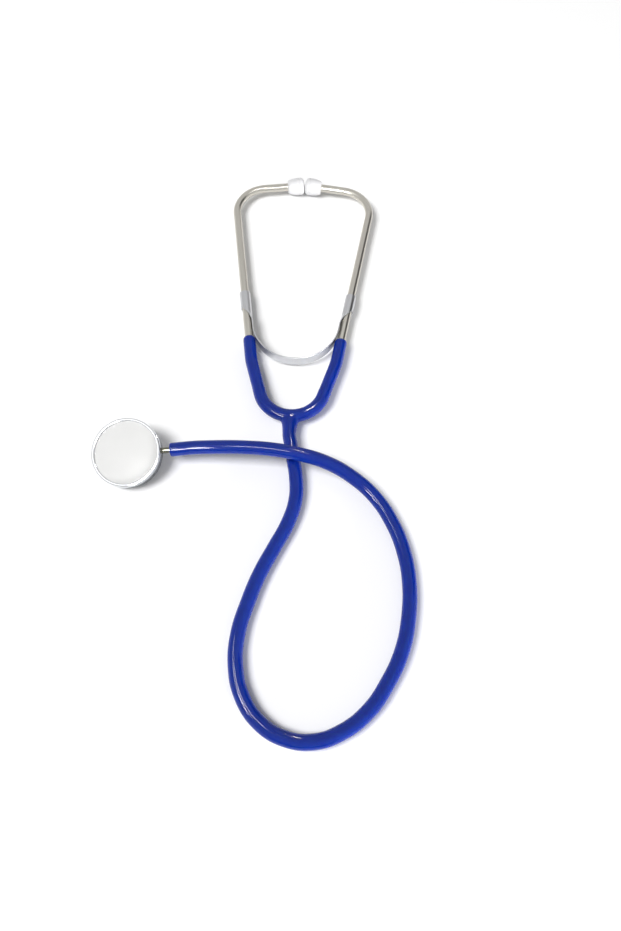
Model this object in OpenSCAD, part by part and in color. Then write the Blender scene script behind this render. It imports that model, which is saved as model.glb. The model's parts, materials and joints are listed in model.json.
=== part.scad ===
// Single-head toy stethoscope, lying on a flat surface with its hose in one open loop.
// +Z is up, +Y runs from the yoke to the ear tips, and the surface is at zero height.
// The origin is the middle of the footprint of the headset and the chest piece.

/* [Hose and yoke] */
// Outside diameter of the hose
hose_od = 9; // [8.6:0.1:9.2]
// Bore of the hose and of the yoke
hose_bore = 4.2; // [4.1:0.1:4.5]
// Outside diameter of the yoke's arms
arm_od = 8.6; // [8.4:0.1:8.8]
// Radius of the yoke's crotch, to the middle of the tube
crotch_r = 22; // [21:0.5:23]
// Lean of the arms just above the crotch, in degrees from the middle line
arm_lean = 17; // [16:0.5:18]
// Straight length of an arm above the crotch
arm_run = 24; // [22:0.5:26]
// Radius of the arm's bend below the ear tube
arm_bend_r = 60; // [50:5:70]
// Straight length at the top of an arm
socket_run = 14.5; // [13.5:0.5:15.5]
// Rounding of an arm's open end
arm_round = 2.4; // [2:0.1:2.8]
// Length of the yoke's foot, from the crotch to the start of the hose
foot_run = 12; // [11:0.5:14]
// Radius of the fillets between the foot and the crotch
fillet_r = 5; // [4:0.5:6]
// Thickness of those fillets
fillet_t = 4; // [3:0.5:5]

/* [Ear tubes] */
// Outside diameter of an ear tube
tube_od = 5.8; // [5.6:0.1:6]
// Wall of an ear tube
tube_wall = 0.7; // [0.5:0.1:0.9]
// Lean of the ear tubes away from the middle line, in degrees
tube_lean = 9; // [8.5:0.5:9.5]
// Straight length of an ear tube above its arm
tube_run = 115; // [110:1:122]
// Radius of the bend at the top of an ear tube
tube_bend_r = 23; // [20:0.5:25]
// Rise of the tube's end towards the middle, in degrees
tip_rise = 8; // [4:0.5:11]
// Length of an ear tube inside its arm
tube_depth = 13; // [11:0.5:14]

/* [Ear tips] */
// Widest diameter of an ear tip
tip_d = 12.6; // [12:0.1:13.2]
// Length of an ear tip
tip_len = 12.4; // [11.5:0.1:13]
// Diameter of an ear tip at its back
tip_neck_d = 8; // [7.6:0.1:9]
// Rounding of an ear tip's front
tip_round = 2.6; // [2:0.1:3]
// Sound hole of an ear tip
tip_hole_d = 2.6; // [2:0.1:3]
// Length of an ear tube inside its tip
tip_depth = 7; // [6:0.5:8]
// Gap between the two ear tips at rest
tip_gap = 0.5; // [0.4:0.1:1]

/* [Spring bow] */
// Width of the spring strip
strip_w = 8; // [7:0.5:8.5]
// Thickness of the spring strip
strip_t = 0.8; // [0.6:0.1:0.9]
// Wall of the sleeves that are rolled round the ear tubes
sleeve_wall = 1; // [1:0.1:1.2]
// Height of the bow's lowest point above the crotch
bow_rise = 43; // [42.5:0.5:44]
// Distance from an arm's end to the outer low corner of its sleeve
sleeve_low = 25.5; // [24:0.5:28]
// Length of a sleeve along its outer side
sleeve_len = 13; // [12:0.5:16]
// Slope of a sleeve's low end, in degrees
sleeve_slope = 50; // [40:1:52]
// Width of the seam where a sleeve's edges meet
seam_w = 0.6; // [0.4:0.1:1]

/* [Chest piece] */
// Diameter of the retaining ring
ring_d = 45; // [44:0.5:46]
// Width of the ring's lip over the diaphragm
lip_w = 2.1; // [1.8:0.1:2.4]
// Height of the ring's lip
lip_t = 1; // [0.8:0.1:1.2]
// Rounding of the ring's outer edge
ring_round = 0.9; // [0.6:0.1:1]
// Wall of the ring around the cup
skirt_wall = 0.95; // [0.8:0.05:1.1]
// Step from the ring in to the cup's wall
cup_step = 0.3; // [0.2:0.1:0.5]
// Height of the cup's wall above the stem's axis
wall_up = 2.5; // [2.4:0.1:3]
// Height of the cup's wall below the stem's axis
wall_down = 2.3; // [2.2:0.1:3]
// Height of the cup's rim inside the ring
rim_h = 2.1; // [1.8:0.1:2.6]
// Angle of the cup's conical back, in degrees, on which the chest piece lies
flank_angle = 16; // [14:1:18]
// Diameter of the flat land in the middle of the back
land_d = 18; // [14:1:20]
// Width of the cup's rim round the bell's mouth, under the diaphragm's edge
rim_w = 2.52; // [1.5:0.02:3.5]
// Depth of the bell
bell_depth = 2.6; // [2:0.1:2.8]
// Thickness of the diaphragm
diaphragm_t = 0.45; // [0.3:0.05:0.6]
// Diameter of the stem
stem_d = 3.9; // [3.7:0.1:3.9]
// Sound duct through the stem and the cup
duct_d = 2.2; // [1.8:0.1:2.4]
// Length of the stem inside the cup's wall
stem_seat = 6.2; // [5.2:0.1:6.7]
// Length of the stem that shows between the ring and the hose
stem_show = 5.5; // [4.5:0.1:6.5]
// Length of the stem inside the hose
stem_grip = 11; // [9:0.5:13]

/* [Layout] */
// Place of the yoke's crotch across the part
headset_x = 36; // [35:0.5:37]
// Place of the yoke's crotch along the part
headset_y = -77; // [-78:0.5:-76]
// Place of the chest piece across the part
head_x = -66.5; // [-67.5:0.5:-65.5]
// Place of the chest piece along the part
head_y = -110.5; // [-111.5:0.5:-109.5]
// Compass turn of the side that the chest piece leans to, in degrees
lean_heading = 15; // [10:1:20]
// Turn of the stem about the chest piece's axis, in degrees
stem_heading = 6.5; // [5:0.5:8]

/* [Fits] */
// Radial clearance of the ear tubes in their sleeves and arms
slide_fit = 0.05; // [0.04:0.01:0.08]
// Clearance between pieces that are pushed or screwed together
push_fit = 0.03; // [0.02:0.01:0.05]
// Gap between the hose and itself where it crosses
cross_gap = 0.5; // [0.4:0.1:1]

/* [Hidden] */
$fn = 72;
// Overrun of a cut past the face that it opens
over = 1;
// Length that a straight run laps into a bend, and what the bend is thicker by
lap = 0.8;
lap_step = 0.05;

arm_r = arm_od / 2;
bore_r = hose_bore / 2;
tube_r = tube_od / 2;
tip_r = tip_d / 2;
tip_neck_r = tip_neck_d / 2;
tip_hole_r = tip_hole_d / 2;
// The ear tips lie on the surface, so they set the height of the headset
axis_z = tip_r;

// Unit vectors along a tube that leans, and from it towards the middle line
function along(lean) = [sin(lean), cos(lean)];
function inward(lean) = [-cos(lean), sin(lean)];
function arc(centre, r, from, to, steps) = [for (i = [0:steps])
    let (turn = from + (to - from) * i / steps) centre + r * [cos(turn), sin(turn)]];
arc_steps = 8;

// Corner points of the right arm and ear tube, seen from above, from the crotch
arm_a = crotch_r * [cos(arm_lean), 1 - sin(arm_lean)];
arm_b = arm_a + arm_run * along(arm_lean);
arm_c = arm_b + arm_bend_r * (inward(arm_lean) - inward(tube_lean));
arm_top = arm_c + socket_run * along(tube_lean);
bend_a = arm_top + tube_run * along(tube_lean);
bend_b = bend_a + tube_bend_r * (inward(tube_lean) + [sin(tip_rise), cos(tip_rise)]);
tube_turn = 90 + tube_lean - tip_rise;

// The foot's fillets touch the foot's side and the crotch's outer side
fillet_x = hose_od / 2 + fillet_r;
fillet_reach = crotch_r + arm_r + fillet_r;
fillet_y = crotch_r - sqrt(fillet_reach ^ 2 - fillet_x ^ 2);

// The top run of an ear tube ends where its tip just clears the other one
tip_reach = (tip_len - tip_round) * cos(tip_rise) + (tip_r - tip_round) * sin(tip_rise) + tip_round;
top_run = (bend_b[0] - tip_gap / 2 - tip_reach) / cos(tip_rise);
tip_back = bend_b + top_run * [-cos(tip_rise), sin(tip_rise)];

// The bow is an arc that touches the straight legs beside the ear tubes
sleeve_ri = tube_r + slide_fit;
sleeve_ro = sleeve_ri + sleeve_wall;
leg_off = sleeve_ri + sleeve_wall / 2;
bow_r = (arm_top[0] * cos(tube_lean) - (arm_top[1] - bow_rise) * sin(tube_lean) - leg_off)
    / (1 - sin(tube_lean));
leg_start = (bow_rise + bow_r - arm_top[1]) * cos(tube_lean) - arm_top[0] * sin(tube_lean);

// Levels of the chest piece, measured along its axis from the stem's axis
ring_r = ring_d / 2;
cup_r = ring_r - cup_step;
thread_r = ring_r - skirt_wall - push_fit;
lip_r = ring_r - lip_w;
seat_z = wall_up + rim_h;
lip_z = seat_z + diaphragm_t + push_fit;
face_z = lip_z + lip_t;
land_z = -wall_down - (cup_r - land_d / 2) * tan(flank_angle);
bell_r = thread_r - rim_w;
stem_r = stem_d / 2;
duct_r = duct_d / 2;
stem_in = cup_r - stem_seat;
hose_end_out = ring_r + stem_show;

// The chest piece lies on its conical back, so the cone's angle is its lean
lean_axis = [cos(lean_heading), -sin(lean_heading), 0];
head_pos = [head_x, head_y, cup_r * sin(flank_angle) + wall_down * cos(flank_angle)];
function leaned(v) = v * cos(flank_angle) + cross(lean_axis, v) * sin(flank_angle)
    + lean_axis * (lean_axis * v) * (1 - cos(flank_angle));
stem_dir = leaned([cos(stem_heading), sin(stem_heading), 0]);

// Hose route from the yoke's foot to the stem, seen from above, and how far each point has risen
// from lying flat towards passing over the lower run
hose_xy = [[37.5, -98], [39.5, -108], [42, -121], [42.5, -136], [38.5, -152], [31, -168.5], [23.5, -185],
    [17.5, -203.5], [13.5, -221], [13.5, -239], [18.5, -256], [29.5, -270], [44, -277.5], [60, -278.5],
    [75, -273], [89.5, -261.5], [100.5, -245.5], [109, -226.5], [113, -206], [113.5, -187], [110.5, -168],
    [103.5, -149.5], [92.5, -133], [78, -121], [62, -113.5], [45, -109.5], [27, -107], [9, -106], [-8, -106]];
hose_rise_shares = [0.15, 0.11, 0.05, 0.01, 0, 0, 0, 0, 0, 0, 0, 0, 0, 0, 0, 0, 0, 0, 0, 0, 0, 0.04,
    0.16, 0.4, 0.72, 0.94, 1, 0.96, 0.87];
hose_sides = 12;
hose_low = hose_od / 2;
hose_high = axis_z + hose_od + cross_gap;
foot_end = [headset_x, headset_y - foot_run, axis_z];
hose_end = head_pos + hose_end_out * stem_dir;
// The hose runs straight over the stem and a little past it
hose_knots = concat([foot_end],
    [for (i = [0:len(hose_xy) - 1])
        concat(hose_xy[i], hose_low + (hose_high - hose_low) * hose_rise_shares[i])],
    [hose_end + (stem_grip + over) * stem_dir, hose_end]);

// Pipe that runs along +Y from the origin: a leg is a straight length, then a left turn and its radius.
// The bends are a hair thicker than the straight runs, which lap into them.
module pipe(r, legs, lead = 0, i = 0) {
    run = legs[i][0];
    turn = legs[i][1];
    bend = legs[i][2];
    last = i == len(legs) - 1;
    translate([0, -lead, 0]) rotate([-90, 0, 0]) cylinder(r = r, h = lead + run + (turn > 0 ? lap : 0));
    if (turn > 0)
        translate([-bend, run, 0]) {
            rotate_extrude(angle = turn) translate([bend, 0]) circle(r = r + lap_step);
            if (!last) rotate([0, 0, turn]) translate([bend, 0, 0]) pipe(r, legs, lap, i + 1);
        }
}

module headset() translate([headset_x, headset_y, axis_z]) children();
module both_sides() {
    children();
    mirror([1, 0, 0]) children();
}
// Frame at the open end of the right arm, with +Y along the ear tube and -X towards the middle line
module at_arm_top() translate(arm_top) rotate([0, 0, -tube_lean]) children();

module arm(r) translate(arm_a) rotate([0, 0, -arm_lean])
    pipe(r, [[arm_run, arm_lean - tube_lean, arm_bend_r]], lap);
module crotch(r) translate([0, crotch_r, 0]) rotate([0, 0, arm_lean - 180])
    rotate_extrude(angle = 180 - 2 * arm_lean) translate([crotch_r, 0]) circle(r = r + lap_step);
module arm_end() at_arm_top() rotate([-90, 0, 0]) rotate_extrude() polygon(concat(
    [[0, -socket_run - lap], [arm_r, -socket_run - lap]],
    arc([arm_r - arm_round, -arm_round], arm_round, 0, 90, arc_steps),
    [[0, 0]]));
module foot_fillet() difference() {
    translate([0, fillet_y, -fillet_t / 2])
        cube([fillet_x * (crotch_r + arm_r) / fillet_reach, -fillet_y, fillet_t]);
    translate([fillet_x, fillet_y, -fillet_t]) cylinder(r = fillet_r, h = 2 * fillet_t);
}
module y_yoke() color("mediumblue") headset() difference() {
    union() {
        crotch(arm_r);
        both_sides() {
            arm(arm_r);
            arm_end();
            foot_fillet();
        }
        rotate([90, 0, 0]) cylinder(d = hose_od, h = foot_run);
    }
    crotch(bore_r);
    both_sides() {
        arm(bore_r);
        at_arm_top() rotate([90, 0, 0]) cylinder(r = bore_r, h = socket_run + lap);
        at_arm_top() translate([0, -tube_depth, 0]) rotate([-90, 0, 0])
            cylinder(r = tube_r + slide_fit, h = tube_depth + over);
    }
    rotate([90, 0, 0]) cylinder(r = bore_r, h = foot_run + over);
}

function tube_legs(extra) = [[tube_depth + tube_run + extra, tube_turn, tube_bend_r],
    [top_run + tip_depth + extra, 0, 0]];
module ear_tube() color("gainsboro") headset() children();
module right_tube() at_arm_top() translate([0, -tube_depth, 0]) difference() {
    pipe(tube_r, tube_legs(0));
    translate([0, -over, 0]) pipe(tube_r - tube_wall, tube_legs(over));
}
module right_ear_tube() ear_tube() right_tube();
module left_ear_tube() ear_tube() mirror([1, 0, 0]) right_tube();

// Dome that swells from the neck to the widest ring, then a rounded front with the sound hole
module right_tip() translate(tip_back) rotate([0, 0, 90 - tip_rise]) rotate([-90, 0, 0])
    rotate_extrude() polygon(concat(
        [[tube_r + push_fit, 0]],
        [for (i = [0:arc_steps - 1]) let (turn = 90 * i / arc_steps)
            [tip_neck_r + (tip_r - tip_neck_r) * sin(turn), (tip_len - tip_round) * (1 - cos(turn))]],
        arc([tip_r - tip_round, tip_len - tip_round], tip_round, 0, 90, arc_steps),
        [[tip_hole_r, tip_len], [tip_hole_r, tip_depth + push_fit]],
        [[tube_r + push_fit, tip_depth + push_fit]]));
module right_ear_tip() color("white") headset() right_tip();
module left_ear_tip() color("white") headset() mirror([1, 0, 0]) right_tip();

// Rolled sleeve with a sloped low end and a seam on its outer side
module sleeve() difference() {
    sleeve_base = sleeve_low - 2 * sleeve_ro * tan(sleeve_slope);
    sleeve_top = sleeve_low + sleeve_len;
    cut = 2 * sleeve_top;
    translate([0, sleeve_base, 0]) rotate([-90, 0, 0]) cylinder(r = sleeve_ro, h = sleeve_top - sleeve_base);
    rotate([-90, 0, 0]) cylinder(r = sleeve_ri, h = sleeve_top + over);
    translate([sleeve_ro, sleeve_low, 0]) rotate([0, 0, sleeve_slope])
        translate([-cut, -cut, -cut / 2]) cube([2 * cut, cut, cut]);
    translate([0, 0, -seam_w / 2]) cube([sleeve_ro + over, sleeve_top + over, seam_w]);
}
module spring_bow() color("lightgray") headset() {
    translate([0, bow_rise + bow_r, 0]) rotate([0, 0, 180 + tube_lean])
        rotate_extrude(angle = 180 - 2 * tube_lean)
            translate([bow_r, 0]) square([strip_t + 2 * lap_step, strip_w + 2 * lap_step], center = true);
    both_sides() at_arm_top() {
        translate([-leg_off - strip_t / 2, leg_start - lap, -strip_w / 2])
            cube([strip_t, sleeve_low + sleeve_len - leg_start + lap, strip_w]);
        sleeve();
    }
}

// One swept skin, outside and bore, with a ring of points on each of the hose's knots
rings = len(hose_knots);
function unit(v) = v / norm(v);
function heading(i) = i == 0 ? [0, -1, 0]
    : i == rings - 1 ? -stem_dir
    : unit(hose_knots[i + 1] - hose_knots[i - 1]);
function hose_ring(i, r) =
    let (ahead = heading(i), side = unit(cross(ahead, [0, 0, 1])), up = cross(side, ahead))
    [for (k = [0:hose_sides - 1]) let (turn = 360 * k / hose_sides)
        hose_knots[i] + r * (side * cos(turn) + up * sin(turn))];
module hose() color("mediumblue") {
    skin = [for (r = [hose_od / 2, bore_r]) for (i = [0:rings - 1]) each hose_ring(i, r)];
    inner = rings * hose_sides;
    last = inner - hose_sides;
    walls = [for (i = [0:rings - 2]) for (k = [0:hose_sides - 1])
        let (n = (k + 1) % hose_sides, a = i * hose_sides)
        [a + k, a + n, a + hose_sides + n, a + hose_sides + k]];
    caps = [for (k = [0:hose_sides - 1]) let (n = (k + 1) % hose_sides) [k, inner + k, inner + n, n]];
    polyhedron(skin, concat(
        walls,
        [for (f = walls) [f[3] + inner, f[2] + inner, f[1] + inner, f[0] + inner]],
        caps,
        [for (f = caps) [f[3] + last, f[2] + last, f[1] + last, f[0] + last]]));
}

// Frame of the chest piece: its axis is +Z and the stem points along +X
module at_head() translate(head_pos) rotate(a = flank_angle, v = lean_axis)
    rotate([0, 0, stem_heading]) children();
module radial(r, from, to) translate([from, 0, 0]) rotate([0, 90, 0]) cylinder(r = r, h = to - from);

module chest_cup() color("silver") at_head() difference() {
    rotate_extrude() polygon([[0, land_z], [land_d / 2, land_z], [cup_r, -wall_down], [cup_r, wall_up],
        [thread_r, wall_up], [thread_r, seat_z], [bell_r, seat_z], [duct_r, seat_z - bell_depth],
        [0, seat_z - bell_depth]]);
    cylinder(r = duct_r, h = seat_z);
    radial(duct_r, 0, stem_in + over);
    radial(stem_r + push_fit, stem_in, cup_r + over);
}
module chest_stem() color("dimgray") at_head() difference() {
    radial(stem_r, stem_in + push_fit, hose_end_out + stem_grip);
    radial(duct_r, stem_in - over, hose_end_out + stem_grip + over);
}
module diaphragm() color("whitesmoke") at_head() translate([0, 0, seat_z])
    cylinder(r = thread_r - push_fit, h = diaphragm_t);
module retaining_ring() color("silver") at_head() rotate_extrude() polygon(concat(
    [[thread_r + push_fit, wall_up + push_fit], [ring_r, wall_up + push_fit]],
    arc([ring_r - ring_round, face_z - ring_round], ring_round, 0, 90, arc_steps),
    [[lip_r, face_z], [lip_r, lip_z], [thread_r + push_fit, lip_z]]));

left_ear_tip();
right_ear_tip();
left_ear_tube();
right_ear_tube();
spring_bow();
y_yoke();
hose();
chest_cup();
chest_stem();
diaphragm();
retaining_ring();
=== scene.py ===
import json
import math
import bpy
from mathutils import Matrix, Vector
from mathutils.geometry import interpolate_bezier


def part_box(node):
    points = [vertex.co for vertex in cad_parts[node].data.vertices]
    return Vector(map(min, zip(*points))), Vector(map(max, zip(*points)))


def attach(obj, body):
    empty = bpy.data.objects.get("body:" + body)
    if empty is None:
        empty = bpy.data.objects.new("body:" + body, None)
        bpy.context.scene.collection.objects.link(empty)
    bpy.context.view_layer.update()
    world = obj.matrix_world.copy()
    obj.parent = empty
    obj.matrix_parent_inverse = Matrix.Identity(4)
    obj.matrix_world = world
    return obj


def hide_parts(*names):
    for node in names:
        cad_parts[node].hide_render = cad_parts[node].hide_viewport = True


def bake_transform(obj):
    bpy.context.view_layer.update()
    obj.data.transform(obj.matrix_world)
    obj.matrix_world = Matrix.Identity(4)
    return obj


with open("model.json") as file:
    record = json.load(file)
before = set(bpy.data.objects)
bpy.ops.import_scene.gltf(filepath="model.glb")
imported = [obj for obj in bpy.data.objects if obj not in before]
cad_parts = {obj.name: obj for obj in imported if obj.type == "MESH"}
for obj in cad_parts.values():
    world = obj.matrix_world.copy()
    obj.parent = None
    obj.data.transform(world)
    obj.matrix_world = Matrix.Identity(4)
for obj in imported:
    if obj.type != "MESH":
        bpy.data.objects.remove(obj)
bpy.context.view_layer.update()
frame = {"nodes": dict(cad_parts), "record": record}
mm = 0.001
tiny = 0.02 * mm   # points this near a plane lie on it
print("frame loaded:", ", ".join(sorted(frame["nodes"])))

# Places that the frame gives: the headset's middle line, and the chest piece's axis and stem
rootBody = "chest_and_yoke"
sides = {"right": "right_headset", "left": "left_headset"}
mounts = {mount["name"]: mount for mount in frame["record"]["mounts"]}
yokeLow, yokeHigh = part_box("y_yoke")
headset = {
    "crotchRadius": 22 * mm,   # to the middle of the tube
    "footRun": 12 * mm,
    "armLean": 17,             # degrees from the middle line
    "armRun": 24 * mm,
    "armBend": 60 * mm,
    "socketRun": 14.5 * mm,
    "tubeLean": 9,
    "tubeRun": 115 * mm,
    "tubeBend": 23 * mm,
    "tipRise": 8,
    "tubeDepth": 13 * mm,      # of an ear tube inside its arm
}
crotch = Vector(((yokeLow.x + yokeHigh.x) / 2, yokeLow.y + headset["footRun"], (yokeLow.z + yokeHigh.z) / 2))
footEnd = crotch - Vector((0, headset["footRun"], 0))
chest = {
    "landDepth": 6.085 * mm,   # from the stem's axis down to the flat of the back
    "hoseEnd": 28 * mm,        # from the chest piece's axis
    "stemGrip": 11 * mm,
    "faceHeight": 6.08 * mm,
    "seatHeight": 4.6 * mm,    # underside of the diaphragm
}
chestAxis = Vector(mounts["listening_face"]["axis"]).normalized()
landPoint = Vector(mounts["back_land"]["pos_m"])
ringPoint = Vector(mounts["listening_face"]["pos_m"]) - landPoint
stemAxis = (ringPoint - chestAxis * ringPoint.dot(chestAxis)).normalized()
chestCentre = landPoint + chestAxis * chest["landDepth"]
hoseEnd = chestCentre + stemAxis * chest["hoseEnd"]
chestFrame = Matrix((stemAxis, chestAxis.cross(stemAxis), chestAxis)).transposed().to_4x4()
chestFrame.translation = chestCentre


def startClean():
    if bpy.context.object and bpy.context.object.mode != "OBJECT":
        bpy.ops.object.mode_set(mode="OBJECT")
    bpy.ops.object.select_all(action="DESELECT")


def editMode():
    bpy.ops.object.mode_set(mode="EDIT")
    bpy.ops.mesh.select_mode(type="VERT")


def selectPoints(piece, test):
    bpy.ops.object.mode_set(mode="OBJECT")
    for polygon in piece.data.polygons:
        polygon.select = False
    for edge in piece.data.edges:
        edge.select = False
    for vertex in piece.data.vertices:
        vertex.select = test(vertex.co)
    editMode()


def applyModifier(piece, kind, **settings):
    bpy.context.view_layer.objects.active = piece
    modifier = piece.modifiers.new(kind.lower(), kind)
    for name, value in settings.items():
        setattr(modifier, name, value)
    bpy.ops.object.modifier_apply(modifier=modifier.name)


def finishPiece(piece, name, smoothAngle):
    startClean()
    piece.name = name
    piece.data.name = name
    piece.select_set(True)
    bpy.context.view_layer.objects.active = piece
    bpy.ops.object.transform_apply(location=True, rotation=True, scale=True)
    bpy.ops.object.shade_smooth_by_angle(angle=math.radians(smoothAngle))
    return piece


def mirroredCopy(piece, name):
    # the headset's other side: mirrored across its middle line, with its own mesh
    startClean()
    piece.select_set(True)
    bpy.context.view_layer.objects.active = piece
    bpy.ops.object.duplicate()
    copy = bpy.context.object
    copy.name = name
    copy.data.name = name
    editMode()
    bpy.ops.mesh.select_all(action="SELECT")
    bpy.ops.transform.resize(value=(-1, 1, 1), center_override=crotch)
    bpy.ops.mesh.flip_normals()
    bpy.ops.object.mode_set(mode="OBJECT")
    return copy


def along(lean):
    return Vector((math.sin(math.radians(lean)), math.cos(math.radians(lean)), 0))


def inward(lean):
    return Vector((-math.cos(math.radians(lean)), math.sin(math.radians(lean)), 0))


def sweptTube(radius, count, start, lean, legs):
    # a ring that is extruded along straight legs and spun round bends to the left
    startClean()
    turn = (math.radians(90), 0, -math.radians(lean))
    bpy.ops.mesh.primitive_circle_add(vertices=count, radius=radius, location=start, rotation=turn)
    tube = bpy.context.object
    bpy.ops.object.transform_apply(location=True, rotation=True, scale=True)
    editMode()
    bpy.ops.mesh.select_all(action="SELECT")
    point = start.copy()
    path = [point.copy()]
    for leg in legs:
        if "run" in leg:
            step = along(lean) * leg["run"] / leg["steps"]
            for _ in range(leg["steps"]):
                bpy.ops.mesh.extrude_region_move(TRANSFORM_OT_translate={"value": step})
                point = point + step
                path.append(point.copy())
        else:
            centre = point + inward(lean) * leg["radius"]
            bpy.ops.mesh.spin(steps=leg["steps"], angle=math.radians(leg["turn"]), center=centre,
                              axis=(0, 0, -1))
            for i in range(leg["steps"]):
                path.append(centre - inward(lean - leg["turn"] * (i + 1) / leg["steps"]) * leg["radius"])
            lean -= leg["turn"]
            point = path[-1].copy()
    bpy.ops.object.mode_set(mode="OBJECT")
    return tube, path


wrapRadius = 3 * mm


def wrapUv(piece, path):
    # u runs round the tube and v along it, both in metres, for patterns that follow the tube
    reach = [0]
    for a, b in zip(path, path[1:]):
        reach.append(reach[-1] + (b - a).length)
    spots = []
    for vertex in piece.data.vertices:
        i = min(range(len(path) - 1), key=lambda k: ((path[k] + path[k + 1]) / 2 - vertex.co).length)
        ahead = (path[i + 1] - path[i]).normalized()
        offset = vertex.co - path[i]
        side = ahead.cross(Vector((0, 0, 1))).normalized()
        spots.append((math.atan2(offset.z, offset.dot(side)), reach[i] + offset.dot(ahead)))
    layer = piece.data.uv_layers.new(name="wrap")
    for polygon in piece.data.polygons:
        first = spots[piece.data.loops[polygon.loop_indices[0]].vertex_index][0]
        for loop in polygon.loop_indices:
            angle, run = spots[piece.data.loops[loop].vertex_index]
            angle += 2 * math.pi * round((first - angle) / (2 * math.pi))
            layer.data[loop].uv = (angle * wrapRadius, run)


# Camera: over the lower part of the object, tilted towards the ear tips
cameraSettings = {
    "aim": (50.84 * mm, -109.79 * mm, 0),   # floor point in the middle of the picture
    "distance": 471.7 * mm,
    "tilt": 25,
    "turn": 2.5,
    "lens": 28,
    "sensor": 36,
}
startClean()
cameraTurn = (math.radians(cameraSettings["tilt"]), 0, math.radians(cameraSettings["turn"]))
bpy.ops.object.camera_add(rotation=cameraTurn)
camera = bpy.context.object
bpy.context.view_layer.update()
cameraBack = camera.matrix_world.to_3x3() @ Vector((0, 0, 1))
camera.location = Vector(cameraSettings["aim"]) + cameraBack * cameraSettings["distance"]
camera.data.lens = cameraSettings["lens"]
camera.data.sensor_width = cameraSettings["sensor"]
bpy.context.scene.camera = camera
bpy.context.scene.view_settings.view_transform = "Standard"
print("camera placed")


# Materials
def linearColour(hexColour):
    parts = [int(hexColour[i:i + 2], 16) / 255 for i in (1, 3, 5)]
    return [c / 12.92 if c <= 0.04045 else ((c + 0.055) / 1.055) ** 2.4 for c in parts] + [1]


def addNode(tree, kind, values=None, links=None, **settings):
    node = tree.nodes.new(kind)
    for name, value in settings.items():
        setattr(node, name, value)
    for socket, value in (values or {}).items():
        node.inputs[socket].default_value = value
    for socket, source in (links or {}).items():
        tree.links.new(source, node.inputs[socket])
    return node


def newMaterial(name, **constants):
    material = bpy.data.materials.new(name)
    material.use_nodes = True
    tree = material.node_tree
    shader = tree.nodes["Principled BSDF"]
    for socket, value in constants.items():
        shader.inputs[socket.replace("_", " ")].default_value = value
    return material, tree, shader


def twoTone(tree, shader, factor, low, high, dullest, shiniest, bump, depth):
    # one pattern gives a colour between two close shades, a gloss between two roughnesses and a shallow bump;
    # the mix node's colour sockets have numbers, because its other sockets share their names
    shade = addNode(tree, "ShaderNodeMix", links={0: factor}, data_type="RGBA")
    shade.inputs[6].default_value = linearColour(low)
    shade.inputs[7].default_value = linearColour(high)
    tree.links.new(shade.outputs[2], shader.inputs["Base Color"])
    gloss = addNode(tree, "ShaderNodeMapRange", {"To Min": dullest, "To Max": shiniest}, {"Value": factor})
    tree.links.new(gloss.outputs["Result"], shader.inputs["Roughness"])
    relief = addNode(tree, "ShaderNodeBump", {"Strength": bump, "Distance": depth}, {"Height": factor})
    tree.links.new(relief.outputs["Normal"], shader.inputs["Normal"])


def bluePvc():
    # soft PVC, dip-moulded: deep royal blue, glossy, a little light gets into it, faint unevenness
    material, tree, shader = newMaterial(
        "soft PVC royal blue", IOR=1.5, Specular_IOR_Level=0.28,
        Subsurface_Weight=1, Subsurface_Radius=(0.1, 0.25, 1.0), Subsurface_Scale=3 * mm)
    spot = addNode(tree, "ShaderNodeTexCoord")
    cloudMm = 9
    cloud = addNode(tree, "ShaderNodeTexNoise", {"Scale": 1 / (cloudMm * mm), "Detail": 3, "Roughness": 0.55},
                    {"Vector": spot.outputs["Object"]})
    twoTone(tree, shader, cloud.outputs["Fac"], low="#08247C", high="#0E2E90", dullest=0.11, shiniest=0.06,
            bump=0.03, depth=0.3 * mm)
    return material


def nickelTube():
    # nickel plate on drawn tube: warm grey, bright, with faint streaks along the tube
    material, tree, shader = newMaterial("nickel plated tube", Metallic=1)
    spot = addNode(tree, "ShaderNodeUVMap", uv_map="wrap")
    streakMm = (0.9, 26)   # drawn marks are finer, these are as coarse as it takes to show
    fit = addNode(tree, "ShaderNodeMapping", {"Scale": (1 / (streakMm[0] * mm), 1 / (streakMm[1] * mm), 1)},
                  {"Vector": spot.outputs["UV"]})
    streak = addNode(tree, "ShaderNodeTexNoise", {"Scale": 1, "Detail": 4, "Roughness": 0.6},
                     {"Vector": fit.outputs["Vector"]})
    twoTone(tree, shader, streak.outputs["Fac"], low="#C4C0B6", high="#D8D5CD", dullest=0.32, shiniest=0.25,
            bump=0.012, depth=0.1 * mm)
    return material


def springSteel():
    # cold-rolled spring steel: cool light grey, satin, rolled lines along the strip
    material, tree, shader = newMaterial("rolled spring steel", Metallic=1)
    spot = addNode(tree, "ShaderNodeUVMap", uv_map="UVMap")
    marks = (4, 46, 1)   # along and across one half of the strip
    fit = addNode(tree, "ShaderNodeMapping", {"Scale": marks}, {"Vector": spot.outputs["UV"]})
    lines = addNode(tree, "ShaderNodeTexNoise", {"Scale": 1, "Detail": 4, "Roughness": 0.6},
                    {"Vector": fit.outputs["Vector"]})
    twoTone(tree, shader, lines.outputs["Fac"], low="#C6C7CA", high="#D8D9DB", dullest=0.34, shiniest=0.26,
            bump=0.05, depth=0.1 * mm)
    return material


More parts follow.
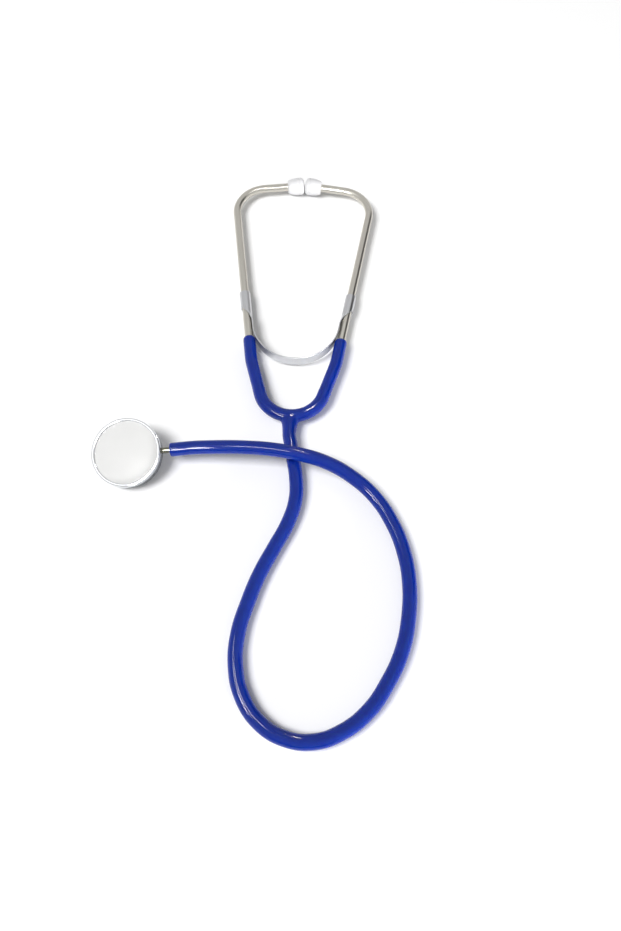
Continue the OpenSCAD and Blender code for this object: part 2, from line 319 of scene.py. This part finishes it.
def turnedMetal(name, low, high, dullest, shiniest, grooveMm):
    # metal turned on a lathe: fine rings round the chest piece's axis
    material, tree, shader = newMaterial(name, Metallic=1)
    spot = addNode(tree, "ShaderNodeTexCoord")
    fit = addNode(tree, "ShaderNodeMapping", {"Location": chestCentre, "Rotation": chestFrame.to_euler()},
                  {"Vector": spot.outputs["Object"]}, vector_type="TEXTURE")
    wavePeriod = 0.314   # of the wave pattern at a scale of 1
    rings = addNode(tree, "ShaderNodeTexWave",
                    {"Scale": wavePeriod / (grooveMm * mm), "Distortion": 1.5, "Detail": 2},
                    {"Vector": fit.outputs["Vector"]}, wave_type="RINGS", rings_direction="Z")
    twoTone(tree, shader, rings.outputs["Fac"], low, high, dullest, shiniest, bump=0.04, depth=0.05 * mm)
    return material


def whitePlastic(name, low, high, cloudMm, dullest, shiniest, bump, specular):
    # moulded white plastic or stiff film: satin, with a faint cloudiness
    material, tree, shader = newMaterial(name, IOR=1.5, Specular_IOR_Level=specular, Subsurface_Weight=0.2,
                                         Subsurface_Radius=(1, 1, 0.95), Subsurface_Scale=1.2 * mm)
    spot = addNode(tree, "ShaderNodeTexCoord")
    cloud = addNode(tree, "ShaderNodeTexNoise", {"Scale": 1 / (cloudMm * mm), "Detail": 2},
                    {"Vector": spot.outputs["Object"]})
    twoTone(tree, shader, cloud.outputs["Fac"], low, high, dullest, shiniest, bump, depth=0.4 * mm)
    return material


pvc = bluePvc()
nickel = nickelTube()
spring = springSteel()
chromePlate = turnedMetal("chrome plated brass", low="#DDE0E4", high="#F0F1F3",
                          dullest=0.08, shiniest=0.04, grooveMm=0.9)
turnedAlloy = turnedMetal("turned zinc alloy", low="#85888D", high="#A0A3A7",
                          dullest=0.32, shiniest=0.24, grooveMm=0.7)
stemMetal = turnedMetal("turned steel", low="#77766A", high="#807F73",
                        dullest=0.2, shiniest=0.16, grooveMm=0.6)
tipPlastic = whitePlastic("moulded white plastic", low="#CFCFD1", high="#D8D8D9", cloudMm=6,
                          dullest=0.46, shiniest=0.38, bump=0.05, specular=0.4)
filmPlastic = whitePlastic("milky diaphragm film", low="#CECECD", high="#D4D4D3", cloudMm=14,
                           dullest=0.26, shiniest=0.18, bump=0.2, specular=0.12)
print("materials made:", len(bpy.data.materials))


def dress(piece, material):
    piece.data.materials.clear()
    piece.data.materials.append(material)


# Hose: the points of the part's own route, from the yoke's foot to the stem
hoseSettings = {
    "length": 0.53,
    "diameter": 9 * mm,
    "bore": 4.2 * mm,
    "low": 4.5 * mm,
    "high": 15.8 * mm,
    "straightEnd": 12 * mm,
    "rimRound": 0.45 * mm,
    "spans": 8,                # from one point to the next
    "roundness": 10,
    "points": [   # across, along, and how far risen from lying flat to crossing over
        (0.0375, -0.098, 0.15), (0.0395, -0.108, 0.11), (0.042, -0.121, 0.05), (0.0425, -0.136, 0.01),
        (0.0385, -0.152, 0), (0.031, -0.1685, 0), (0.0235, -0.185, 0), (0.0175, -0.2035, 0),
        (0.0135, -0.221, 0), (0.0135, -0.239, 0), (0.0185, -0.256, 0), (0.0295, -0.27, 0),
        (0.044, -0.2775, 0), (0.06, -0.2785, 0), (0.075, -0.273, 0), (0.0895, -0.2615, 0),
        (0.1005, -0.2455, 0), (0.109, -0.2265, 0), (0.113, -0.206, 0), (0.1135, -0.187, 0),
        (0.1105, -0.168, 0), (0.1035, -0.1495, 0.04), (0.0925, -0.133, 0.16), (0.078, -0.121, 0.4),
        (0.062, -0.1135, 0.72), (0.045, -0.1095, 0.94), (0.027, -0.107, 1), (0.009, -0.106, 0.96),
        (-0.008, -0.106, 0.87),
    ],
}


def makeHose():
    low, high = hoseSettings["low"], hoseSettings["high"]
    knots = [footEnd] + [Vector((x, y, low + (high - low) * rise)) for x, y, rise in hoseSettings["points"]]
    knots += [hoseEnd + stemAxis * hoseSettings["straightEnd"], hoseEnd]
    startClean()
    bpy.ops.curve.primitive_bezier_curve_add()
    curve = bpy.context.object
    spline = curve.data.splines[0]
    spline.bezier_points.add(len(knots) - 2)
    for point, knot in zip(spline.bezier_points, knots):
        point.co = knot
        point.handle_left_type = point.handle_right_type = "AUTO"
    curve.data.dimensions = "3D"
    bpy.context.view_layer.update()
    # the first stretch leaves the foot straight, and the last lies along the stem
    first, second, last = spline.bezier_points[0], spline.bezier_points[-2], spline.bezier_points[-1]
    third = hoseSettings["straightEnd"] / 3
    for point, back in ((first, Vector((0, 1, 0))), (second, stemAxis), (last, stemAxis)):
        point.handle_left_type = point.handle_right_type = "FREE"
        point.handle_left = point.co + back * third
        point.handle_right = point.co - back * third
    curve.data.resolution_u = hoseSettings["spans"]
    curve.data.bevel_depth = hoseSettings["diameter"] / 2
    curve.data.bevel_resolution = hoseSettings["roundness"]
    curve.data.twist_mode = "Z_UP"
    path = []
    for a, b in zip(spline.bezier_points, spline.bezier_points[1:]):
        path += interpolate_bezier(a.co, a.handle_right, b.handle_left, b.co, hoseSettings["spans"] + 1)[:-1]
    path.append(hoseEnd)
    bpy.ops.object.convert(target="MESH")
    hose = bpy.context.object
    # the open end round the stem: a flat rim, the bore, and a rounded outer edge
    radius = hoseSettings["diameter"] / 2
    selectPoints(hose, lambda co: abs((co - hoseEnd).dot(stemAxis)) < tiny
                 and (co - hoseEnd).length < 2 * radius)
    bpy.ops.mesh.extrude_region_move(TRANSFORM_OT_translate={"value": (0, 0, 0)})
    shrink = hoseSettings["bore"] / hoseSettings["diameter"]
    bpy.ops.transform.resize(value=(shrink, shrink, shrink), center_override=hoseEnd)
    bpy.ops.mesh.extrude_region_move(TRANSFORM_OT_translate={"value": stemAxis * chest["stemGrip"]})
    bpy.ops.mesh.edge_face_add()
    selectPoints(hose, lambda co: abs((co - hoseEnd).dot(stemAxis)) < tiny
                 and abs((co - hoseEnd).length - radius) < tiny * 5)
    bpy.ops.mesh.select_mode(type="EDGE")
    bpy.ops.mesh.bevel(offset=hoseSettings["rimRound"], segments=4, affect="EDGES")
    selectPoints(hose, lambda co: abs(co.y - footEnd.y) < tiny and (co - footEnd).length < 2 * radius)
    bpy.ops.mesh.edge_face_add()
    bpy.ops.mesh.select_all(action="SELECT")
    bpy.ops.mesh.normals_make_consistent(inside=False)
    bpy.ops.object.mode_set(mode="OBJECT")
    finishPiece(hose, "freeHose", 40)
    dress(hose, pvc)
    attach(hose, rootBody)
    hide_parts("hose")
    measured = sum((b - a).length for a, b in zip(path, path[1:]))
    print("hose made, mm long:", round(measured / mm, 1))


makeHose()

# Y moulding: the crotch with its foot stays with the hose, and each arm is a piece of its own
armA = crotch + Vector((0, headset["crotchRadius"], 0)) - inward(headset["armLean"]) * headset["crotchRadius"]
armB = armA + along(headset["armLean"]) * headset["armRun"]
armC = armB + (inward(headset["armLean"]) - inward(headset["tubeLean"])) * headset["armBend"]
armTop = armC + along(headset["tubeLean"]) * headset["socketRun"]
yokeSettings = {
    "facets": 48,
    "armRadius": 4.3 * mm,
    "footRadius": 4.5 * mm,
    "seam": 4 * mm,            # straight length of an arm that belongs to the crotch piece
    "spare": 4 * mm,           # length that is trimmed off again
    "gussets": [               # flat cones under the crotch: half width above and below, length, share thick
        (8.4 * mm, 4.9 * mm, 7 * mm, 0.45),
        (6.2 * mm, 4.6 * mm, 12 * mm, 0.76),
    ],
    "voxel": 0.4 * mm,
    "smoothing": 50,
    "swell": 0.25 * mm,        # what the smoothing takes off again
    "endRound": 2.4 * mm,
    "endSteps": 8,
    "socketRadius": 2.95 * mm,
    "bendLength": 30 * mm,     # stretch of an arm that bends when the tubes spread
}


def trimEnd(piece, point, outward):
    editMode()
    bpy.ops.mesh.select_all(action="SELECT")
    bpy.ops.mesh.bisect(plane_co=point, plane_no=outward, clear_outer=True, use_fill=True)
    bpy.ops.object.mode_set(mode="OBJECT")


def makeCrotch():
    s = yokeSettings
    spare = s["seam"] + s["spare"]
    lean = 180 - headset["armLean"]
    mirrored = Vector((2 * crotch.x - armA.x, armA.y, armA.z))
    start = mirrored - along(lean) * spare
    arms = sweptTube(s["armRadius"] + s["swell"], s["facets"], start, lean, [
        {"run": spare, "steps": 6},
        {"radius": headset["crotchRadius"], "turn": 2 * lean - 180, "steps": 40},
        {"run": spare, "steps": 6}])[0]
    editMode()
    bpy.ops.mesh.select_all(action="SELECT")
    bpy.ops.mesh.region_to_loop()
    bpy.ops.mesh.edge_face_add()
    bpy.ops.object.mode_set(mode="OBJECT")
    applyModifier(arms, "TRIANGULATE")
    footLength = headset["footRun"] + s["spare"]
    startClean()
    bpy.ops.mesh.primitive_cone_add(vertices=s["facets"], radius1=s["armRadius"] + s["swell"] / 2,
                                    radius2=s["footRadius"] + s["swell"], depth=footLength,
                                    location=crotch - Vector((0, footLength / 2, 0)),
                                    rotation=(math.radians(90), 0, 0))
    foot = bpy.context.object
    parts = [arms, foot]
    for above, below, length, thick in s["gussets"]:
        bpy.ops.mesh.primitive_cone_add(vertices=s["facets"], radius1=above, radius2=below, depth=length,
                                        location=crotch - Vector((0, length / 2, 0)),
                                        rotation=(math.radians(90), 0, 0))
        bpy.context.object.scale = (1, thick, 1)
        parts.append(bpy.context.object)
    for piece in parts:
        piece.select_set(True)
    bpy.context.view_layer.objects.active = arms
    bpy.ops.object.join()
    applyModifier(arms, "REMESH", mode="VOXEL", voxel_size=s["voxel"])
    applyModifier(arms, "SMOOTH", factor=0.5, iterations=s["smoothing"])
    for direction in (along(headset["armLean"]), along(-headset["armLean"])):
        root = armA if direction.x > 0 else mirrored
        trimEnd(arms, root + direction * s["seam"], direction)
    trimEnd(arms, footEnd, Vector((0, -1, 0)))
    finishPiece(arms, "yokeCrotch", 60)
    dress(arms, pvc)
    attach(arms, rootBody)
    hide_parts("y_yoke")
    print("crotch made, faces:", len(arms.data.polygons))


def makeArms():
    s = yokeSettings
    start = armA + along(headset["armLean"]) * s["seam"]
    arm = sweptTube(s["armRadius"], s["facets"], start, headset["armLean"], [
        {"run": headset["armRun"] - s["seam"], "steps": 20},
        {"radius": headset["armBend"], "turn": headset["armLean"] - headset["tubeLean"], "steps": 10},
        {"run": headset["socketRun"] - s["endRound"], "steps": 12}])[0]
    # the arm's open end is drawn in to the ear tube in a rounded edge, and its socket goes down
    # round the tube
    axis = along(headset["tubeLean"])
    level, radius = -s["endRound"], s["armRadius"]
    selectPoints(arm, lambda co: abs((co - armTop).dot(axis) - level) < tiny)
    for i in range(s["endSteps"]):
        turn = math.radians(90 * (i + 1) / s["endSteps"])
        nextLevel = s["endRound"] * (math.sin(turn) - 1)
        nextRadius = s["socketRadius"] + (s["armRadius"] - s["socketRadius"]) * math.cos(turn)
        bpy.ops.mesh.extrude_region_move(TRANSFORM_OT_translate={"value": axis * (nextLevel - level)})
        shrink = nextRadius / radius
        bpy.ops.transform.resize(value=(shrink, shrink, shrink), center_override=armTop + axis * nextLevel)
        level, radius = nextLevel, nextRadius
    bpy.ops.mesh.extrude_region_move(TRANSFORM_OT_translate={"value": -axis * headset["tubeDepth"]})
    bpy.ops.mesh.edge_face_add()
    selectPoints(arm, lambda co: abs((co - start).dot(along(headset["armLean"]))) < tiny)
    bpy.ops.mesh.edge_face_add()
    bpy.ops.mesh.select_all(action="SELECT")
    bpy.ops.mesh.normals_make_consistent(inside=False)
    bpy.ops.object.mode_set(mode="OBJECT")
    finishPiece(arm, "rightYokeArm", 50)
    pieces = {"right": arm, "left": mirroredCopy(arm, "leftYokeArm")}
    for side, piece in pieces.items():
        dress(piece, pvc)
        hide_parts("y_yoke")
        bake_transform(piece)
    print("yoke arms made")


makeCrotch()
makeArms()

# Ear tubes: drawn metal tube with one bend, from inside the arm to inside the ear tip
bendA = armTop + along(headset["tubeLean"]) * headset["tubeRun"]
tubeTurn = 90 + headset["tubeLean"] - headset["tipRise"]
topLean = headset["tubeLean"] - tubeTurn
bendB = bendA + (inward(headset["tubeLean"]) - inward(topLean)) * headset["tubeBend"]
tubeSettings = {"radius": 2.9 * mm, "wall": 0.7 * mm, "inTip": 7 * mm, "facets": 40}
tipSettings = {
    "radius": 6.3 * mm,
    "neck": 4 * mm,
    "length": 12.4 * mm,
    "round": 2.6 * mm,
    "hole": 1.3 * mm,
    "socket": 2.93 * mm,
    "gap": 0.5 * mm,        # between the two tips at rest
    "lineAt": 8.9 * mm,     # moulded line behind the lip
    "lineDeep": 0.28 * mm,
    "lineWide": 0.5 * mm,
    "lineStep": 0.12 * mm,  # how far the dome stands back from the lip
    "lineRound": 0.1 * mm,
    "lipRound": 0.12 * mm,
    "socketRound": 0.2 * mm,
    "backRound": 0.4 * mm,
    "holeRound": 0.3 * mm,
    "steps": 10,
    "facets": 64,
}
tipRise = math.radians(headset["tipRise"])
tipReach = ((tipSettings["length"] - tipSettings["round"]) * math.cos(tipRise)
            + (tipSettings["radius"] - tipSettings["round"]) * math.sin(tipRise) + tipSettings["round"])
topRun = (bendB.x - crotch.x - tipSettings["gap"] / 2 - tipReach) / math.cos(tipRise)


def makeTubes():
    s = tubeSettings
    start = armTop - along(headset["tubeLean"]) * headset["tubeDepth"]
    tube, path = sweptTube(s["radius"], s["facets"], start, headset["tubeLean"], [
        {"run": headset["tubeDepth"] + headset["tubeRun"], "steps": 26},
        {"radius": headset["tubeBend"], "turn": tubeTurn, "steps": 40},
        {"run": topRun + s["inTip"], "steps": 6}])
    editMode()
    bpy.ops.mesh.select_all(action="SELECT")
    bpy.ops.mesh.normals_make_consistent(inside=False)
    bpy.ops.object.mode_set(mode="OBJECT")
    wrapUv(tube, path)
    applyModifier(tube, "SOLIDIFY", thickness=s["wall"], offset=-1)
    finishPiece(tube, "rightEarTube", 40)
    pieces = {"right": tube, "left": mirroredCopy(tube, "leftEarTube")}
    for side, piece in pieces.items():
        dress(piece, nickel)
        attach(piece, sides[side])
        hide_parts(side + "_ear_tube")
    print("ear tubes made")


makeTubes()


def turnedPiece(profile, steps, closed):
    # a profile of (radius, height, rounding) that is drawn point by point, rounded and spun round its axis
    startClean()
    bpy.ops.mesh.primitive_plane_add(size=mm)
    piece = bpy.context.object
    editMode()
    bpy.ops.mesh.select_all(action="SELECT")
    bpy.ops.mesh.merge(type="CENTER")
    points = [Vector((radius, 0, height)) for radius, height, rounding in profile]
    bpy.ops.transform.translate(value=points[0])
    for a, b in zip(points, points[1:] + (points[:1] if closed else [])):
        bpy.ops.mesh.extrude_region_move(TRANSFORM_OT_translate={"value": b - a})
    bpy.ops.mesh.select_all(action="SELECT")
    same = 0.001 * mm
    bpy.ops.mesh.remove_doubles(threshold=same)
    for radius, height, rounding in profile:
        if rounding:
            selectPoints(piece, lambda co: (co - Vector((radius, 0, height))).length < same)
            bpy.ops.mesh.bevel(offset=rounding, segments=6, affect="VERTICES")
    bpy.ops.mesh.select_all(action="SELECT")
    bpy.ops.mesh.spin(steps=steps, angle=2 * math.pi, center=(0, 0, 0), axis=(0, 0, 1))
    bpy.ops.mesh.select_all(action="SELECT")
    bpy.ops.mesh.remove_doubles(threshold=same)
    bpy.ops.mesh.normals_make_consistent(inside=False)
    bpy.ops.object.mode_set(mode="OBJECT")
    return piece


# Ear tips: moulded domes with a thin lip round the front and a sound hole
def makeTips():
    s = tipSettings
    dome = []
    for i in range(s["steps"]):
        turn = math.radians(90 * i / s["steps"])
        height = (s["length"] - s["round"]) * (1 - math.cos(turn))
        if height < s["lineAt"] - s["lineWide"]:
            rounding = s["backRound"] if i == 0 else 0
            dome.append((s["neck"] + (s["radius"] - s["neck"]) * math.sin(turn), height, rounding))
    profile = [(s["socket"], 0, s["socketRound"])] + dome + [
        (s["radius"] - s["lineStep"], s["lineAt"] - s["lineWide"] / 2, s["lineRound"]),
        (s["radius"] - s["lineDeep"], s["lineAt"], 0),
        (s["radius"], s["lineAt"] + s["lineWide"] / 2, s["lipRound"]),
        (s["radius"], s["length"], s["round"]),
        (s["hole"], s["length"], s["holeRound"]),
        (s["hole"], tubeSettings["inTip"], 0),
        (s["socket"], tubeSettings["inTip"], 0)]
    tip = turnedPiece(profile, s["facets"], True)
    tip.rotation_euler = along(topLean).to_track_quat("Z", "Y").to_euler()
    tip.location = bendB + along(topLean) * topRun
    finishPiece(tip, "rightEarTip", 45)
    pieces = {"right": tip, "left": mirroredCopy(tip, "leftEarTip")}
    for side, piece in pieces.items():
        dress(piece, tipPlastic)
        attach(piece, sides[side])
        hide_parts(side + "_ear_tip")
    print("ear tips made")


makeTips()

# Spring: one stamped steel blank in a U, whose ends flare and are rolled round the ear tubes
springSettings = {
    "rise": 43 * mm,          # lowest point of the bow above the crotch
    "halfWidth": 4 * mm,
    "thickness": 0.8 * mm,
    "axisGap": 3.45 * mm,     # from the blank's middle to the ear tube's axis
    "sleeveLow": 25.5 * mm,   # outer low corner of a sleeve, from the arm's end
    "sleeveTop": 38.5 * mm,
    "slope": 50,
    "wallRadius": 3.95 * mm,
    "seam": 0.6 * mm,
    "rollFrom": 12 * mm,      # where the flat strip starts to curl, from the arm's end
    "rollTo": 20.5 * mm,
    "leastCurl": 1e-6,        # keeps the flat stretch from a division by nothing
    "edgeRound": 0.15 * mm,
    "bendShort": 0.5 * mm,    # the bend ends this far before the leg
    "cells": (250, 28),
}


def makeSpring():
    s = springSettings
    lean = math.radians(headset["tubeLean"])
    top = armTop - crotch
    reach = top.x * math.cos(lean) - (top.y - s["rise"]) * math.sin(lean) - s["axisGap"]
    bowRadius = reach / (1 - math.sin(lean))
    legStart = (s["rise"] + bowRadius - top.y) * math.cos(lean) - top.x * math.sin(lean)
    arcLength = bowRadius * (math.pi / 2 - lean)
    total = arcLength + s["sleeveTop"] - legStart
    centre = crotch + Vector((0, s["rise"] + bowRadius, 0))
    legLow = centre - inward(headset["tubeLean"]) * bowRadius
    slant = s["wallRadius"] * math.tan(math.radians(s["slope"]))
    fullRoll = math.pi * s["axisGap"] - s["seam"] / 2
    startClean()
    bpy.ops.mesh.primitive_grid_add(x_subdivisions=s["cells"][0], y_subdivisions=s["cells"][1], size=1)
    blank = bpy.context.object
    for vertex in blank.data.vertices:
        run = (vertex.co.x + 0.5) * total
        height = legStart + run - arcLength    # along the ear tube, from the arm's end
        if run < arcLength:
            turn = 90 - math.degrees(run / bowRadius)
            place, outward = centre - inward(turn) * bowRadius, -inward(turn)
        else:
            place = legLow + along(headset["tubeLean"]) * (run - arcLength)
            outward = -inward(headset["tubeLean"])
        reached = min(1, max(-1, (s["sleeveLow"] - height) / slant - 1))
        half = max(s["halfWidth"], min(fullRoll, s["axisGap"] * math.acos(reached)))
        rolled = min(1, max(0, (height - s["rollFrom"]) / (s["rollTo"] - s["rollFrom"])))
        curl = max(s["leastCurl"], rolled * rolled * (3 - 2 * rolled)) / s["axisGap"]
        across = 2 * vertex.co.y * half
        vertex.co = (place + outward * (1 - math.cos(across * curl)) / curl
                     + Vector((0, 0, math.sin(across * curl) / curl)))
    applyModifier(blank, "SOLIDIFY", thickness=s["thickness"], offset=0)
    applyModifier(blank, "BEVEL", width=s["edgeRound"], segments=2, limit_method="ANGLE",
                  angle_limit=math.radians(60))
    editMode()
    bpy.ops.mesh.select_all(action="SELECT")
    bpy.ops.mesh.normals_make_consistent(inside=False)
    bpy.ops.object.mode_set(mode="OBJECT")
    finishPiece(blank, "rightSpringHalf", 40)
    pieces = {"right": blank, "left": mirroredCopy(blank, "leftSpringHalf")}
    for side, piece in pieces.items():
        dress(piece, spring)
        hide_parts("spring_bow")
        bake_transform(piece)
    print("spring made, faces:", 2 * len(blank.data.polygons))


makeSpring()

# Chest piece: chrome ring and stiff film on the turned cup, which stays as it is
ringSettings = {
    "radius": 22.5 * mm,
    "inside": 21.55 * mm,
    "low": 2.53 * mm,
    "lipWidth": 2.1 * mm,
    "lip": 1 * mm,
    "round": 0.9 * mm,
    "lipRound": 0.6 * mm,
    "lowRound": 0.3 * mm,
    "crease": 0.1 * mm,
    "facets": 128,
}
filmSettings = {"radius": 21.49 * mm, "thickness": 0.45 * mm, "crown": 0.5 * mm, "steps": 10, "facets": 128}


def makeChestPiece():
    s = ringSettings
    face = chest["faceHeight"]
    ring = turnedPiece([
        (s["inside"], s["low"], s["crease"]),
        (s["radius"], s["low"], s["lowRound"]),
        (s["radius"], face, s["round"]),
        (s["radius"] - s["lipWidth"], face, s["lipRound"]),
        (s["radius"] - s["lipWidth"], face - s["lip"], s["crease"]),
        (s["inside"], face - s["lip"], s["crease"])], s["facets"], True)
    film = filmSettings
    seat = chest["seatHeight"]
    outline = [(0, seat, 0), (film["radius"], seat, 0)]
    for i in range(film["steps"] + 1):
        share = 1 - i / film["steps"]
        height = seat + film["thickness"] + film["crown"] * (1 - share ** 2)
        outline.append((film["radius"] * share, height, 0))
    sheet = turnedPiece(outline, film["facets"], False)
    for piece, name, node, material, slot in (
            (ring, "retainingRing", "retaining_ring", chromePlate, "chrome_ring"),
            (sheet, "diaphragmFilm", "diaphragm", filmPlastic, "diaphragm_film")):
        piece.rotation_euler = chestFrame.to_euler()
        piece.location = chestCentre
        finishPiece(piece, name, 40)
        dress(piece, material)
        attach(piece, rootBody)
        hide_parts(node)
    dress(frame["nodes"]["chest_cup"], turnedAlloy)
    dress(frame["nodes"]["chest_stem"], stemMetal)
    print("chest piece made")


makeChestPiece()

# Floor and light: a white table, lamps, and black cards that only the shiny things show
floorSettings = {"size": 1.6, "drop": 0.05 * mm, "colour": "#FAFAFA"}
startClean()
bpy.ops.mesh.primitive_plane_add(size=floorSettings["size"], location=(0, 0, -floorSettings["drop"]))
floor = bpy.context.object
floor.name = "floor"
floorMaterial = newMaterial("white table", Roughness=0.9, Specular_IOR_Level=0,
                            Base_Color=linearColour(floorSettings["colour"]))[0]
floor.data.materials.append(floorMaterial)

world = bpy.data.worlds.new("studio")
bpy.context.scene.world = world
world.use_nodes = True
sky = world.node_tree.nodes["Background"]
skySettings = {"shade": 0.31, "mirrored": 0.7, "seen": 1.0}
ray = addNode(world.node_tree, "ShaderNodeLightPath")
mirrored = addNode(world.node_tree, "ShaderNodeMapRange",
                   {"To Min": skySettings["shade"], "To Max": skySettings["mirrored"]},
                   {"Value": ray.outputs["Is Glossy Ray"]})
seen = addNode(world.node_tree, "ShaderNodeMapRange", {"To Max": skySettings["seen"]},
               {"Value": ray.outputs["Is Camera Ray"], "To Min": mirrored.outputs["Result"]})
world.node_tree.links.new(seen.outputs["Result"], sky.inputs["Strength"])
sky.inputs["Color"].default_value = (1, 1, 1, 1)

lampSettings = [
    # the softbox and the fill give the shading, the others only the lines of light on gloss and metal;
    # what a lamp shows on: matt surfaces, shiny ones
    {"name": "softbox", "place": (-1.7, -0.65, 2.9), "long": (0, 1, 0), "size": (1.6, 1.6),
     "watts": 111, "shows": (True, False)},
    {"name": "fill", "place": (1.1, -0.9, 0.14), "long": (0.63, 0.77, 0), "size": (1, 0.22),
     "watts": 28, "shows": (True, False)},
    {"name": "leftStrip", "place": (-0.13, -0.24, 0.25), "long": (0, 1, 0), "size": (0.2, 0.035),
     "watts": 0.36, "shows": (False, True)},
    {"name": "leftPane", "place": (-0.127, -0.31, 0.25), "long": (0, 1, 0), "size": (0.09, 0.04),
     "watts": 0.33, "shows": (False, True)},
    {"name": "runStrip", "place": (-0.05, -0.221, 0.4), "long": (0.86, -0.51, 0), "size": (0.116, 0.065),
     "watts": 0.42, "shows": (False, True)},
    {"name": "smallLamp", "place": (0.076, 0.012, 0.25), "long": (1, 0, 0), "size": (0.03, 0.02),
     "watts": 0.22, "shows": (False, True)},
    {"name": "whiteCard", "place": (-0.53, -0.2, 1.1), "long": (1, 0, 0), "size": (0.5, 0.4),
     "watts": 0.52, "shows": (False, True)},
]
cardSettings = [
    {"name": "rightCard", "place": (0.9, 0.45, 0.4), "size": (0.8, 0.8)},
    {"name": "frontCard", "place": (0, -1.4, 0.2), "size": (1.3, 0.4)},
]
cardColour = "#262626"


def facing(place, long):
    # turn of a flat thing that faces the middle of the picture, with its long side along a given direction
    back = (place - Vector(cameraSettings["aim"])).normalized()
    side = (Vector(long) - back * back.dot(Vector(long))).normalized()
    return Matrix((side, back.cross(side), back)).transposed().to_euler()


for lamp in lampSettings:
    startClean()
    place = Vector(lamp["place"])
    bpy.ops.object.light_add(type="AREA", location=place, rotation=facing(place, lamp["long"]))
    light = bpy.context.object
    light.name = lamp["name"]
    light.data.shape = "RECTANGLE"
    light.data.size, light.data.size_y = lamp["size"]
    light.data.energy = lamp["watts"]
    light.visible_camera = False
    light.visible_diffuse, light.visible_glossy = lamp["shows"]
cardMaterial = newMaterial("black card", Roughness=1, Specular_IOR_Level=0,
                           Base_Color=linearColour(cardColour))[0]
for card in cardSettings:
    startClean()
    place = Vector(card["place"])
    level = place.cross(Vector((0, 0, 1)))
    bpy.ops.mesh.primitive_plane_add(size=1, location=place, rotation=facing(place, level))
    sheet = bpy.context.object
    sheet.name = card["name"]
    sheet.scale = (*card["size"], 1)
    sheet.data.materials.append(cardMaterial)
    sheet.visible_camera = sheet.visible_diffuse = sheet.visible_shadow = False
print("floor and light made")
